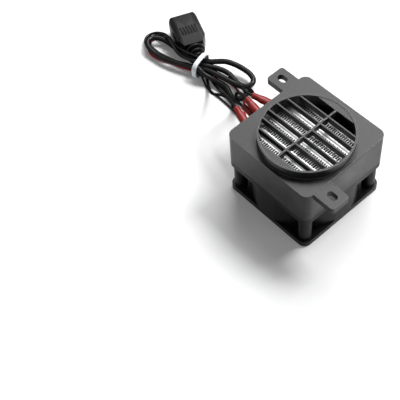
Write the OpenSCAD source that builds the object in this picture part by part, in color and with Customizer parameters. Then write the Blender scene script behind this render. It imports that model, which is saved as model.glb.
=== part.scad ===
/* [Housing] */
// Outside width and depth of the square housing and of the fan under it
body_w = 60; // [59:0.5:62]
// Height of the fan frame
fan_h = 25; // [25:0.5:26]
// Height of the housing that stands on the fan
case_h = 21.5; // [21.5:0.5:24]
// Thickness of the housing's walls and top plate
wall = 2; // [1.8:0.1:2.2]
// Radius of the four upright corners
corner_r = 4.5; // [4:0.5:5]

/* [Outlet collar] */
// Outside radius of the round outlet collar
collar_r = 26.4; // [25.6:0.2:26.4]
// Height of the collar above the top plate
collar_h = 5.5; // [4.5:0.5:8]
// Thickness of the collar's wall
collar_wall = 1.2; // [1:0.1:1.4]
// Shift of the collar towards the front right side
collar_x = 2.3; // [0:0.1:2.4]
// Shift of the collar towards the front left side
collar_y = -1.9; // [-2:0.1:0]
// Distance from one grille slat to the next
slat_pitch = 6.2; // [5.8:0.1:6.4]
// Thickness of a grille slat
slat_t = 0.9; // [0.8:0.1:1.2]
// Depth of the slats and of the rib across them
slat_depth = 4; // [3.6:0.2:4.4]

/* [Mounting ears] */
// Width of an ear
ear_w = 12; // [11:0.5:13]
// Reach of an ear past the housing's wall
ear_reach = 13.3; // [12:0.1:14]
// Thickness of an ear
ear_t = 4; // [3.5:0.5:5]
// Distance of an ear's middle from the housing's middle
ear_offset = 19; // [18:0.5:20]
// Width of the screw slot
slot_w = 4.2; // [3.6:0.1:4.2]
// Overall length of the screw slot
slot_l = 6.4; // [5.4:0.2:8]

/* [Fan] */
// Thickness of the fan's end flanges
flange_t = 3.5; // [3:0.5:4]
// Inside radius of the fan's barrel
bore_r = 28.8; // [28.6:0.1:29]
// Radius of the blade tips
tip_r = 28; // [27.4:0.1:28]
// Outside radius of the impeller's hub
hub_r = 15.5; // [15:0.5:16]
// Number of blades
blade_count = 7; // [5:1:9]
// Distance between the screw holes along a side
hole_pitch = 50; // [49.8:0.1:50.2]

/* [Heating element] */
// Distance from one heating tube to the next
tube_pitch = 12.1; // [12.1:0.1:12.3]
// Thickness of a heating tube across the flow
tube_w = 4.2; // [4:0.1:4.2]
// Depth of the tubes and fins along the flow
tube_h = 14; // [13:0.5:14]
// Length of the heating tubes
tube_l = 50; // [49:0.5:50.4]
// Distance from one fin to the next
fin_pitch = 1.4; // [1.2:0.1:2]
// Height of a fin row between its inner plate and its outer plate
fin_h = 3; // [2.8:0.1:3]

/* [Lead] */
// Diameter of the four supply wires
wire_d = 1.8; // [1.6:0.1:2]
// Diameter of the two fan wires
fan_wire_d = 1.3; // [1.2:0.1:1.4]
// Width of the lead's inlet connector
plug_w = 19; // [19:0.5:20]
// Height of the lead's inlet connector
plug_h = 13; // [12.4:0.2:13]
// Length of the inlet connector without its neck
plug_l = 26; // [25:1:30]

/* [Hidden] */
$fn = 64;

case_z = fan_h;
top_z = fan_h + case_h;
rim_z = top_z + collar_h;
half_w = body_w / 2;
inner_half = half_w - wall;
collar_bore_r = collar_r - collar_wall;
grille_z = rim_z - 0.3;
slat_count = 6;
crescent_y = (slat_count + 1) / 2 * slat_pitch - 0.2;
crescent_t = 1.2;
rib_w = 1.1;
rib_x = 0.45;
seat = 0.2;
post_r = 3.75;
boss_r = 3.8;
post_xy = hole_pitch / 2;
screw_r = 1.6;
screw_hole_r = 2.15;
screw_head_r = 4;
screw_head_h = 2.2;
screw_tip_z = fan_h + 10;
cross_l = 3.8;
cross_w = 0.7;
cross_h = 1.1;
ear_top_z = top_z - 0.4;
ear_corner_r = 1.6;
slot_x = 6.9;

base_t = 2.5;
base_z = fan_h - base_t;
barrel_r = half_w + 0.6;
axle_r = 1;
running_gap = 0.04;
bearing_r = 2.6;
bearing_z = 6.2;
bearing_h = 14.4;
bearing_tube_r = 3.6;
bearing_tube_z = 6;
clip_room_z = base_z + 0.6;
strut_w = 2.6;
strut_z = fan_h - flange_t;
channel_depth = 1.4;
channel_w = 3;
channel_in = 13.5;
wire_drop_l = 2.9;

core_y = collar_y;
holder_skin = 1.5;
element_top = top_z - wall - holder_skin;
element_z = element_top - tube_h;
tube_t = 0.5;
stone_w = 2.1;
electrode_t = 0.2;
film_t = 0.12;
plate_t = 0.5;
cover_t = 0.35;
fin_t = 0.22;
holder_t = 2.6;
holder_out = inner_half - 1.2;
holder_in = holder_out - holder_t;
holder_half = 19;
bus_x = -inner_half + 0.3;
bus_t = 0.4;

tab_w = 2.8;
tab_t = 0.8;
tab_l = 6.6;
slot_play = 0.6;
bend_x = -half_w - 1.1;
// Each terminal's place on the wall, its height, and the angle at which its tab is bent
terminals = [
    [-13.2, 38, -17],
    [-3, 38, -10],
    [-3, 33.5, 0],
    [7.2, 38, 14]
];
sleeve_l = 14.2;

// The lead's routes: round numbers along the middle of each wire, from its crimp to the hank
wire_a_route = [
    [-41, -10.2, 38], [-47, -8.3, 38], [-52, -6.9, 37], [-58, -5, 33.5], [-64, -2.8, 28],
    [-71, 0, 20.5], [-78, 3, 13], [-84, 5.8, 7], [-90, 9.2, 3], [-95, 12.4, 1.6], [-99.5, 15.2, 1.4]
];
wire_b_route = [
    [-41, -1.2, 38], [-47.5, -0.1, 38], [-52, 0.7, 36.4], [-57, 2.6, 31], [-61, 5.6, 23.5],
    [-64, 8.8, 15], [-67, 12, 7], [-70.5, 14.2, 2], [-76, 15.4, 1]
];
wire_c_route = [
    [-41, -3, 33.5], [-47.5, -3, 33.5], [-52, -2.4, 31.6], [-57, -0.6, 26], [-61, 2.2, 18.5],
    [-64, 5.2, 10.8], [-67.5, 8.8, 4.5], [-71.5, 11.6, 1.3], [-78, 13.3, 1]
];
wire_d_route = [
    [-41, 4.7, 38], [-47, 3.2, 38], [-51.5, 3.4, 37.2], [-56.5, 7, 33.4], [-60, 12, 26.5],
    [-62.8, 17.5, 18], [-65.6, 22.4, 9.5], [-69.4, 25.6, 3], [-74.5, 26.4, 1]
];
fan_black_route = [
    [-14, -0.8, 23.2], [-16, -0.8, 24.3], [-31.5, -0.8, 24.3], [-35, -0.9, 22.5], [-38.5, -0.9, 17],
    [-42, -0.6, 9.5], [-46.5, 0.4, 3], [-53, 3, 0.7], [-60, 7.2, 0.7], [-70, 9.2, 0.7], [-80, 10, 0.7],
    [-88, 9.9, 0.7], [-92, 10, 0.7], [-95, 10.7, 0.7], [-98.5, 12.1, 1.3], [-103, 13.6, 2.2], [-107, 12.5, 2.2]
];
fan_red_route = [
    [-14, 0.8, 23.2], [-16, 0.8, 24.3], [-31.5, 0.8, 24.3], [-35, 0.9, 22.5], [-38.5, 1, 17], [-42, 1.2, 9.5],
    [-46.5, 2.2, 3], [-53, 5.2, 0.7], [-60, 11, 0.7], [-64.5, 15, 0.7], [-70, 19, 0.7], [-76, 21.4, 0.7]
];
tie_at = [-106, 16.5];
tie_turn = 16;
plug_at = [-110.8, 19.7];
plug_turn = 156.7;
neck_l = 9;

// Square with round corners, in the plane
module rounded_square(w, d, r) {
    square([w - 2 * r, d], center = true);
    square([w, d - 2 * r], center = true);
    for (x = [-1, 1], y = [-1, 1]) {
        translate([x * (w / 2 - r), y * (d / 2 - r)]) circle(r);
    }
}

module at_corners() {
    for (x = [-1, 1], y = [-1, 1]) {
        translate([x * post_xy, y * post_xy, 0]) children();
    }
}

module slot_outline(l, w) {
    square([l - w, w], center = true);
    for (x = [-1, 1]) {
        translate([x * (l - w) / 2, 0]) circle(w / 2);
    }
}

// Ear on the front right wall; the other is its half turn about the middle
module ear() {
    translate([half_w, -ear_offset, ear_top_z - ear_t]) linear_extrude(ear_t) difference() {
        union() {
            translate([ear_reach / 2, 0]) rounded_square(ear_reach, ear_w, ear_corner_r);
            translate([-wall / 2, -ear_w / 2]) square([ear_reach / 2, ear_w]);
        }
        translate([slot_x, 0]) slot_outline(slot_l, slot_w);
    }
}

module grille() {
    translate([collar_x, collar_y, grille_z - slat_depth]) linear_extrude(slat_depth) {
        intersection() {
            circle(collar_bore_r + seat);
            union() {
                for (i = [0 : slat_count - 1]) {
                    y = (i - (slat_count - 1) / 2) * slat_pitch;
                    translate([-collar_r, y - slat_t / 2]) square([2 * collar_r, slat_t]);
                }
                translate([rib_x - rib_w / 2, -crescent_y - 1]) square([rib_w, 2 * crescent_y + 2]);
            }
        }
    }
    translate([collar_x, collar_y, grille_z - crescent_t]) linear_extrude(crescent_t) {
        difference() {
            circle(collar_bore_r + seat);
            square([2 * collar_r, 2 * crescent_y], center = true);
        }
    }
}

module heater_housing() {
    color([0.33, 0.33, 0.34]) {
        difference() {
            union() {
                translate([0, 0, case_z]) linear_extrude(case_h) {
                    rounded_square(body_w, body_w, corner_r);
                }
                translate([collar_x, collar_y, top_z - wall]) cylinder(h = collar_h + wall, r = collar_r);
                ear();
                rotate([0, 0, 180]) ear();
            }
            difference() {
                translate([0, 0, case_z - 1]) linear_extrude(case_h - wall + 1) {
                    rounded_square(body_w - 2 * wall, body_w - 2 * wall, corner_r - wall);
                }
                at_corners() cylinder(h = top_z, r = boss_r);
            }
            translate([collar_x, collar_y, case_z]) cylinder(h = rim_z, r = collar_bore_r);
            at_corners() translate([0, 0, case_z - 1]) cylinder(h = screw_tip_z - case_z + 2, r = screw_r);
            for (t = terminals) {
                translate([-half_w + wall / 2, t[0], t[1]]) {
                    cube([2 * wall, tab_w + slot_play, tab_t + slot_play], center = true);
                }
            }
        }
        grille();
    }
}

module fan_flange() {
    rounded_square(body_w, body_w, corner_r);
}

module fan_strut(turn) {
    rotate([0, 0, turn]) translate([hub_r - 1, -strut_w / 2, strut_z]) {
        cube([bore_r - hub_r + 1.4, strut_w, flange_t]);
    }
}

module fan_frame() {
    color([0.13, 0.13, 0.14]) difference() {
        union() {
            difference() {
                union() {
                    linear_extrude(flange_t) fan_flange();
                    translate([0, 0, strut_z]) linear_extrude(flange_t) fan_flange();
                    intersection() {
                        cylinder(h = fan_h, r = barrel_r);
                        translate([-half_w, -half_w, 0]) cube([body_w, body_w, fan_h]);
                    }
                    at_corners() cylinder(h = fan_h, r = post_r);
                }
                translate([0, 0, -1]) cylinder(h = fan_h + 2, r = bore_r);
            }
            translate([0, 0, base_z]) cylinder(h = base_t, r = hub_r);
            translate([0, 0, bearing_tube_z]) cylinder(h = base_z + 0.5 - bearing_tube_z, r = bearing_tube_r);
            for (turn = [45, 135, 225, 315]) {
                fan_strut(turn);
            }
            translate([-bore_r - 0.4, -channel_w / 2 - 1, strut_z]) {
                cube([bore_r - hub_r + 1.4, channel_w + 2, flange_t]);
            }
        }
        translate([0, 0, bearing_tube_z - 1]) cylinder(h = clip_room_z + 1 - bearing_tube_z, r = bearing_r);
        translate([-half_w - 1, -channel_w / 2, fan_h - channel_depth]) {
            cube([half_w + 1 - channel_in, channel_w, channel_depth + 1]);
        }
        translate([-channel_in - wire_drop_l, -channel_w / 2, base_z - 1.5]) {
            cube([wire_drop_l, channel_w, base_t + 2]);
        }
        at_corners() {
            translate([0, 0, -1]) cylinder(h = fan_h + 2, r = screw_hole_r);
            translate([0, 0, -0.01]) cylinder(h = screw_head_h, r1 = screw_head_r + 0.05, r2 = screw_r + 0.05);
        }
    }
}

blade_z = 1.6;
blade_h = 18.4;
blade_t = 1.2;
blade_twist = 42;
blade_steps = 8;
hub_face_z = 1.6;
hub_wall = 1.1;
hub_floor = 1.4;
hub_top_z = 19.6;
shaft_boss_r = 2.6;
shaft_boss_top = hub_face_z + 3.9;
shaft_root_z = hub_face_z + 1;
shaft_l = 19;
clip_groove_z = 20.9;
clip_groove_w = 0.5;
clip_groove_r = 0.7;
clip_t = 0.4;
clip_r = 1.9;
yoke_r = hub_r - hub_wall;
yoke_t = 1;
yoke_floor = 0.8;
yoke_h = 15.4;
magnet_t = 1.4;
magnet_z = hub_face_z + 3.2;
magnet_h = 12.6;

// Cross-section of one blade: a swept strip that thins from the hub to the tip
blade_root_r = hub_r - 0.6;
blade_sweep = 22;
blade_points = 5;
function blade_r(j) = blade_root_r + (tip_r - blade_root_r) * j / blade_points;
function blade_angle(j) = -blade_sweep * pow(j / blade_points, 1.5);
function blade_edge(j, s) = blade_r(j) * [cos(blade_angle(j)), sin(blade_angle(j))]
    + s * (blade_t - 0.4 * j / blade_points) / 2 * [-sin(blade_angle(j)), cos(blade_angle(j))];

module blade_section() {
    polygon(concat(
        [for (j = [0 : blade_points]) blade_edge(j, -1)],
        [for (j = [blade_points : -1 : 0]) blade_edge(j, 1)]
    ));
}

module fan_impeller() {
    color([0.1, 0.1, 0.11]) difference() {
        union() {
            translate([0, 0, hub_face_z]) cylinder(h = hub_top_z - hub_face_z, r = hub_r);
            for (i = [0 : blade_count - 1]) {
                rotate([0, 0, i * 360 / blade_count]) translate([0, 0, blade_z]) {
                    linear_extrude(blade_h, twist = -blade_twist, slices = blade_steps, $fn = 12) blade_section();
                }
            }
        }
        difference() {
            translate([0, 0, hub_face_z + hub_floor]) cylinder(h = hub_top_z, r = yoke_r);
            cylinder(h = shaft_boss_top, r = shaft_boss_r);
        }
        translate([0, 0, shaft_root_z]) cylinder(h = 5, r = axle_r);
    }
}

module rotor_yoke() {
    color([0.6, 0.6, 0.62]) translate([0, 0, hub_face_z + hub_floor]) difference() {
        cylinder(h = yoke_h, r = yoke_r);
        translate([0, 0, yoke_floor]) cylinder(h = yoke_h, r = yoke_r - yoke_t);
        translate([0, 0, -1]) cylinder(h = 4, r = shaft_boss_r + 0.1);
    }
}

module rotor_magnet() {
    color([0.16, 0.14, 0.13]) translate([0, 0, magnet_z]) difference() {
        cylinder(h = magnet_h, r = yoke_r - yoke_t);
        translate([0, 0, -1]) cylinder(h = magnet_h + 2, r = yoke_r - yoke_t - magnet_t);
    }
}

module fan_shaft() {
    color("silver") difference() {
        translate([0, 0, shaft_root_z]) cylinder(h = shaft_l, r = axle_r);
        translate([0, 0, clip_groove_z]) difference() {
            cylinder(h = clip_groove_w, r = axle_r + 1);
            translate([0, 0, -1]) cylinder(h = 3, r = clip_groove_r);
        }
    }
}

module shaft_clip() {
    color("silver") translate([0, 0, clip_groove_z + (clip_groove_w - clip_t) / 2]) difference() {
        cylinder(h = clip_t, r = clip_r);
        translate([0, 0, -1]) cylinder(h = 3, r = clip_groove_r);
        translate([0, -0.45, -1]) cube([3, 0.9, 3]);
    }
}

module fan_bearing() {
    color([0.75, 0.6, 0.3]) translate([0, 0, bearing_z]) difference() {
        cylinder(h = bearing_h, r = bearing_r);
        translate([0, 0, -1]) cylinder(h = bearing_h + 2, r = axle_r + running_gap);
    }
}

stator_z = 10;
stator_h = 5;
ring_r = 5.6;
tooth_w = 3;
pole_r = 11.4;
shoe_t = 1.4;
insulator_t = 0.6;
coil_x = 6.3;
coil_l = 3;
coil_w = 5.8;
coil_h = 8.6;
coil_bore_w = 3.2;
coil_bore_h = 6.2;

module stator_plan(gap) {
    difference() {
        union() {
            circle(ring_r + gap);
            for (i = [0 : 3]) {
                rotate([0, 0, i * 90]) {
                    translate([0, -tooth_w / 2 - gap]) square([pole_r - 0.8, tooth_w + 2 * gap]);
                    intersection() {
                        difference() {
                            circle(pole_r);
                            circle(pole_r - shoe_t - gap);
                        }
                        rotate([0, 0, -36]) square([pole_r * 2, pole_r * 2]);
                        rotate([0, 0, -54]) square([pole_r * 2, pole_r * 2]);
                    }
                }
            }
        }
        circle(bearing_tube_r);
    }
}

module stator_core() {
    color([0.45, 0.45, 0.47]) translate([0, 0, stator_z]) linear_extrude(stator_h) stator_plan(0);
}

module stator_insulator() {
    color([0.9, 0.88, 0.8]) {
        translate([0, 0, stator_z + stator_h]) linear_extrude(insulator_t) stator_plan(0.1);
        translate([0, 0, stator_z - insulator_t]) linear_extrude(insulator_t) stator_plan(0.1);
    }
}

module stator_coils() {
    color([0.72, 0.42, 0.2]) for (i = [0 : 3]) {
        rotate([0, 0, i * 90]) translate([coil_x, 0, stator_z + stator_h / 2]) difference() {
            translate([0, -coil_w / 2, -coil_h / 2]) cube([coil_l, coil_w, coil_h]);
            translate([-1, -coil_bore_w / 2, -coil_bore_h / 2]) cube([coil_l + 2, coil_bore_w, coil_bore_h]);
        }
    }
}

board_t = 1;
board_r = 14.4;

module fan_circuit_board() {
    color([0.1, 0.4, 0.2]) translate([0, 0, base_z - board_t]) difference() {
        cylinder(h = board_t, r = board_r);
        translate([0, 0, -1]) cylinder(h = 3, r = bearing_tube_r + 0.1);
    }
}

module corner_screws() {
    color("silver") at_corners() difference() {
        union() {
            cylinder(h = screw_head_h, r1 = screw_head_r, r2 = screw_r);
            cylinder(h = screw_tip_z, r = screw_r);
        }
        for (turn = [45, 135]) {
            rotate([0, 0, turn]) translate([-cross_l / 2, -cross_w / 2, -0.1]) cube([cross_l, cross_w, cross_h]);
        }
    }
}

pocket_play = 0.2;
foot_gap_w = 6;
foot_gap_h = 3.6;
strip_slot_w = 1.4;
function tube_y(place) = core_y + place * tube_pitch;

// End holder of the heating tubes; side is -1 at the terminals and 1 at the far end
module element_holder(side) {
    color([0.75, 0.73, 0.68]) difference() {
        translate([side > 0 ? holder_in : -holder_out, core_y - holder_half, case_z]) {
            cube([holder_t, 2 * holder_half, element_top + holder_skin - case_z]);
        }
        for (place = [-1 : 1]) {
            translate([0, tube_y(place), element_z + tube_h / 2]) {
                cube([tube_l + 2 * pocket_play, tube_w + pocket_play, tube_h + pocket_play], center = true);
            }
            translate([side * holder_in, tube_y(place), case_z]) {
                cube([2 * holder_t + 4, foot_gap_w, 2 * foot_gap_h], center = true);
            }
        }
        if (side < 0) {
            for (place = [-1 : 1]) {
                translate([-holder_out - 1, tube_y(place) - stone_w, element_top - 4.2]) {
                    cube([4, strip_slot_w, 3.4]);
                }
                translate([-holder_out - 1, tube_y(place) + stone_w - strip_slot_w, element_z + 3]) {
                    cube([4, strip_slot_w, 3]);
                }
            }
        }
    }
}

module heating_tube(place) {
    color([0.82, 0.83, 0.85]) translate([0, tube_y(place), element_z + tube_h / 2]) rotate([0, 90, 0]) {
        linear_extrude(tube_l, center = true) difference() {
            rounded_square(tube_h, tube_w, 0.6);
            square([tube_h - 2 * tube_t, tube_w - 2 * tube_t], center = true);
        }
    }
}

film_w = stone_w + 2 * electrode_t + 2 * film_t;
core_h = tube_h - 2 * tube_t - 0.3;
stone_l = 24;
strip_half = 24.2;

module insulating_film(place) {
    color([0.75, 0.45, 0.1]) translate([0, tube_y(place), element_z + tube_h / 2]) rotate([0, 90, 0]) {
        linear_extrude(tube_l - 0.6, center = true) difference() {
            square([core_h, film_w], center = true);
            square([core_h - 2 * film_t, film_w - 2 * film_t], center = true);
        }
    }
}

module ptc_stones(place) {
    color([0.35, 0.33, 0.32]) for (x = [-1, 1]) {
        translate([x * (stone_l / 2 + 0.1), tube_y(place), element_z + tube_h / 2]) {
            cube([stone_l, stone_w, core_h - 1], center = true);
        }
    }
}

// Electrode strip beside the stones; side -1 is live and 1 is neutral
module electrode(place, side) {
    y = tube_y(place) + side * (stone_w + electrode_t) / 2;
    tab_z = side < 0 ? element_top - 4 : element_z + 3.2;
    tab_h = side < 0 ? 3 : 2.6;
    color([0.8, 0.8, 0.82]) translate([0, y, 0]) {
        translate([-strip_half, -electrode_t / 2, element_z + 1.2]) {
            cube([2 * strip_half, electrode_t, core_h - 1.2]);
        }
        translate([bus_x + bus_t, -electrode_t / 2, tab_z]) {
            cube([0.2 - strip_half - bus_x - bus_t, electrode_t, tab_h]);
        }
    }
}

// Square-wave outline of a folded fin strip: both sides of its middle line
plate_reach = 0.8;
fold_h = fin_h - fin_t;
fold_count = floor((tube_l - 4) / fin_pitch);
fold_last = 2 * fold_count + 1;
function fold_line(i) = [floor(i / 2) * fin_pitch, (i % 4 == 0 || i % 4 == 3) ? fold_h : 0];
function fold_way(i) = let (d = fold_line(i + 1) - fold_line(i)) d / norm(d);
function left_of(d) = [-d[1], d[0]];
function fold_corner(i) = i == 0 || i == fold_last
    ? left_of(fold_way(min(i, fold_last - 1)))
    : left_of(fold_way(i - 1)) + left_of(fold_way(i));
function fold_side(i, s) = fold_line(i) + fold_corner(i) * s * fin_t / 2;

module folded_fin() {
    polygon(concat(
        [for (i = [0 : fold_last]) fold_side(i, 1)],
        [for (i = [fold_last : -1 : 0]) fold_side(i, -1)]
    ));
}

// Fin row beside a tube, brazed between its two plates; side is -1 or 1
module fin_row(place, side) {
    run = fold_count * fin_pitch;
    row_h = tube_h - 0.4;
    color([0.87, 0.88, 0.9]) translate([0, tube_y(place), element_z + 0.2]) {
        mirror([0, side < 0 ? 1 : 0, 0]) translate([-run / 2, tube_w / 2 + plate_t, 0]) {
            translate([0, fin_t / 2, 0]) linear_extrude(row_h) folded_fin();
            translate([-plate_reach, -plate_t, 0]) cube([run + 2 * plate_reach, plate_t, row_h]);
            translate([-plate_reach, fin_h, 0]) cube([run + 2 * plate_reach, cover_t, row_h]);
        }
    }
}

module bus_tab(place) {
    t = terminals[place];
    translate([bend_x, t[0] - tab_w / 2, t[1] - tab_t / 2]) cube([bus_x + bus_t - bend_x, tab_w, tab_t]);
    translate([bend_x, t[0], t[1]]) rotate([0, 0, t[2]]) {
        translate([-tab_l, -tab_w / 2, -tab_t / 2]) cube([tab_l + 0.1, tab_w, tab_t]);
    }
}

module live_bus() {
    color([0.8, 0.8, 0.82]) {
        low_z = element_top - 4.3;
        translate([bus_x, tube_y(-1) - stone_w, low_z]) cube([bus_t, 2 * tube_pitch + 2 * stone_w, 3.9]);
        for (place = [0, 1]) {
            t = terminals[place];
            tab_low = t[1] - tab_t / 2;
            translate([bus_x, t[0] - tab_w / 2, tab_low]) cube([bus_t, tab_w, low_z + 0.5 - tab_low]);
            bus_tab(place);
        }
    }
}

module neutral_bus() {
    low_z = terminals[2][1] - tab_t / 2;
    color([0.8, 0.8, 0.82]) {
        translate([bus_x, tube_y(-1) - stone_w, low_z]) cube([bus_t, 2 * tube_pitch + 2 * stone_w, 3]);
        translate([bus_x, terminals[3][0] - tab_w / 2, low_z]) {
            cube([bus_t, tab_w, terminals[3][1] + tab_t / 2 - low_z]);
        }
        bus_tab(2);
        bus_tab(3);
    }
}

module at_terminal(place) {
    t = terminals[place];
    translate([bend_x, t[0], t[1]]) rotate([0, 0, t[2] + 180]) children();
}

// Sleeve's rings: distance from the bend, half of the flat between its round edges, and edge radius.
// The skin goes out to the throat, turns in and comes back to the mouth.
sleeve_rings = [
    [0.3, 0.6, 1.8], [8.2, 0.6, 1.8], [10.4, 0, 1.9], [sleeve_l, 0, 1.8],
    [sleeve_l, 0, 1.35], [9.8, 0, 1.35], [7.6, 0.65, 1.4], [0.3, 0.65, 1.4]
];
sleeve_sides = 20;
function sleeve_point(ring, k) = let (turn = 360 * (k + 0.5) / sleeve_sides)
    [ring[0], ring[1] * sign(cos(turn)) + ring[2] * cos(turn), ring[2] * sin(turn)];

module crimp_sleeve(place) {
    count = len(sleeve_rings);
    points = [for (ring = sleeve_rings, k = [0 : sleeve_sides - 1]) sleeve_point(ring, k)];
    skin = [
        for (i = [0 : count - 1], k = [0 : sleeve_sides - 1])
            let (n = (k + 1) % sleeve_sides, here = i * sleeve_sides, next = (i + 1) % count * sleeve_sides)
            [here + k, next + k, next + n, here + n]
    ];
    color([0.8, 0.2, 0.14]) at_terminal(place) polyhedron(points, skin);
}

contact_l = 6.2;
contact_w = 3.4;
contact_h = 1.5;
crimp_l = 5;
crimp_r = 1.25;

module crimp_contact(place) {
    color([0.85, 0.82, 0.7]) at_terminal(place) difference() {
        union() {
            translate([0.8, -contact_w / 2, -contact_h / 2]) cube([contact_l, contact_w, contact_h]);
            translate([contact_l + 0.6, 0, 0]) rotate([0, 90, 0]) cylinder(h = crimp_l, r = crimp_r);
        }
        translate([0.7, -tab_w / 2 - 0.02, -tab_t / 2 - 0.02]) {
            cube([contact_l - 0.1, tab_w + 0.04, tab_t + 0.04]);
        }
        translate([contact_l - 0.2, 0, 0]) rotate([0, 90, 0]) cylinder(h = 8, r = wire_d / 2 + 0.05);
    }
}

tube_sides = 8;
function unit(v) = v / norm(v);
function along(route, i) = unit(route[min(i + 1, len(route) - 1)] - route[max(i - 1, 0)]);
function ring_point(route, i, k, r) = let (
    way = along(route, i),
    side = unit(cross(way, [0, 1, 0])),
    up = cross(side, way),
    turn = 360 * k / tube_sides
) route[i] + r * (cos(turn) * side + sin(turn) * up);

// Round cord swept along its route, one ring at each point
module cord_tube(route, d) {
    rings = len(route);
    points = [for (i = [0 : rings - 1], k = [0 : tube_sides - 1]) ring_point(route, i, k, d / 2)];
    skin = [
        for (i = [0 : rings - 2], k = [0 : tube_sides - 1]) let (n = (k + 1) % tube_sides)
            [i * tube_sides + k, i * tube_sides + n, (i + 1) * tube_sides + n, (i + 1) * tube_sides + k]
    ];
    first = [[for (k = [tube_sides - 1 : -1 : 0]) k]];
    last = [[for (k = [0 : tube_sides - 1]) (rings - 1) * tube_sides + k]];
    polyhedron(points, concat(skin, first, last));
}

module supply_wire(route) {
    color([0.06, 0.06, 0.06]) cord_tube(route, wire_d);
}

module fan_wire_black() {
    color([0.06, 0.06, 0.06]) cord_tube(fan_black_route, fan_wire_d);
}

module fan_wire_red() {
    color([0.7, 0.05, 0.08]) cord_tube(fan_red_route, fan_wire_d);
}

lobe_h = 10.4;
waist_l = 7;
waist_w = 13;
waist_low = 1.3;
waist_h = 9.8;
tie_w = 3;
tie_t = 1.2;
tie_gap = 0.2;
tie_play = 0.04;

module hank_outline() {
    hull() {
        translate([-102, 18]) circle(6, $fn = 32);
        translate([-88, 30]) circle(5.5, $fn = 32);
        translate([-78, 28.5]) circle(6.5, $fn = 32);
        translate([-75, 19.5]) circle(7, $fn = 32);
    }
    hull() {
        translate([-109, 11.6]) circle(3.6, $fn = 32);
        translate([-134, 11.5]) circle(5.5, $fn = 32);
        translate([-146.5, 13]) circle(6, $fn = 32);
        translate([-141, 8]) circle(5.5, $fn = 32);
    }
}

module lead_hank() {
    color([0.05, 0.05, 0.05]) {
        difference() {
            linear_extrude(lobe_h) hank_outline();
            translate([tie_at[0], tie_at[1], -1]) rotate([0, 0, tie_turn]) {
                translate([-tie_w / 2 - tie_gap, -12, 0]) cube([tie_w + 2 * tie_gap, 24, lobe_h + 2]);
            }
        }
        translate([tie_at[0], tie_at[1], waist_low]) rotate([0, 0, tie_turn]) {
            translate([-waist_l / 2, -waist_w / 2, 0]) cube([waist_l, waist_w, waist_h]);
        }
    }
}

module lead_tie() {
    color([0.92, 0.93, 0.94]) translate([tie_at[0], tie_at[1], waist_low + waist_h / 2]) {
        rotate([0, 0, tie_turn]) rotate([0, 90, 0]) linear_extrude(tie_w, center = true) difference() {
            rounded_square(waist_h + 2 * tie_t, waist_w + 2 * tie_t, 4);
            square([waist_h + tie_play, waist_w + tie_play], center = true);
        }
    }
}

module at_plug() {
    translate([plug_at[0], plug_at[1], plug_h / 2]) rotate([0, 0, plug_turn]) children();
}

recess_w = 13.8;
recess_h = 8.4;
recess_l = 10;
pin_r = 1.2;
pin_gap = 8.6;
shoulder_l = 7;
plug_neck_w = 12.4;
plug_neck_h = 10;
groove_count = 6;
groove_pitch = 1.9;
groove_w = 0.8;
groove_l = 6.5;
groove_z = 0.5;
pin_root = 3;
pin_l = 11.4;

// Half profile of the ringed neck, from the cord to the connector's body
module neck_profile() {
    polygon([[0, 0], [2.6, 0], [3.6, 0.4], [3.6, 1.7], [2.7, 2.2], [2.8, 2.9], [4.8, 3.3], [4.8, 4.6],
        [3.4, 5.1], [3.4, 5.8], [6, 6.2], [6, 7.6], [4.4, 8.1], [4.4, neck_l + 1], [0, neck_l + 1]]);
}

// Outline of the connector's body along its length, narrowing at the shoulder towards the neck
module shouldered_outline(w, neck_w, r) {
    translate([neck_l + (plug_l + shoulder_l) / 2, 0]) rounded_square(plug_l - shoulder_l, w, r);
    polygon([[neck_l, -neck_w / 2], [neck_l + shoulder_l, -w / 2], [neck_l + plug_l - r - 1, -w / 2],
        [neck_l + plug_l - r - 1, w / 2], [neck_l + shoulder_l, w / 2], [neck_l, neck_w / 2]]);
}

module plug_body() {
    intersection() {
        translate([0, 0, -plug_h / 2]) linear_extrude(plug_h) shouldered_outline(plug_w, plug_neck_w, 4);
        rotate([90, 0, 0]) linear_extrude(plug_w, center = true) shouldered_outline(plug_h, plug_neck_h, 1.6);
        translate([neck_l, 0, 0]) rotate([0, 90, 0]) linear_extrude(plug_l) {
            rounded_square(plug_h, plug_w, 4);
        }
    }
}

module inlet_connector() {
    color([0.12, 0.12, 0.13]) at_plug() difference() {
        union() {
            plug_body();
            rotate([0, 90, 0]) rotate_extrude() neck_profile();
        }
        translate([neck_l + plug_l - recess_l, 0, 0]) rotate([0, 90, 0]) linear_extrude(recess_l + 1) {
            rounded_square(recess_h, recess_w, 3);
        }
        for (side = [-1, 1], i = [1 : groove_count]) {
            translate([neck_l + shoulder_l + 0.5, (i - (groove_count + 1) / 2) * groove_pitch, side * plug_h / 2]) {
                translate([0, -groove_w / 2, -groove_z]) cube([groove_l, groove_w, 2 * groove_z]);
            }
        }
        for (side = [-1, 1]) {
            translate([neck_l + plug_l - recess_l - pin_root, side * pin_gap / 2, 0]) rotate([0, 90, 0]) {
                cylinder(h = pin_root + 1, r = pin_r);
            }
        }
    }
}

module inlet_pins() {
    color("silver") at_plug() for (side = [-1, 1]) {
        translate([neck_l + plug_l - recess_l - pin_root, side * pin_gap / 2, 0]) rotate([0, 90, 0]) {
            cylinder(h = pin_l, r = pin_r);
            translate([0, 0, pin_l]) cylinder(h = 0.6, r1 = pin_r, r2 = pin_r - 0.5);
        }
    }
}

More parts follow.
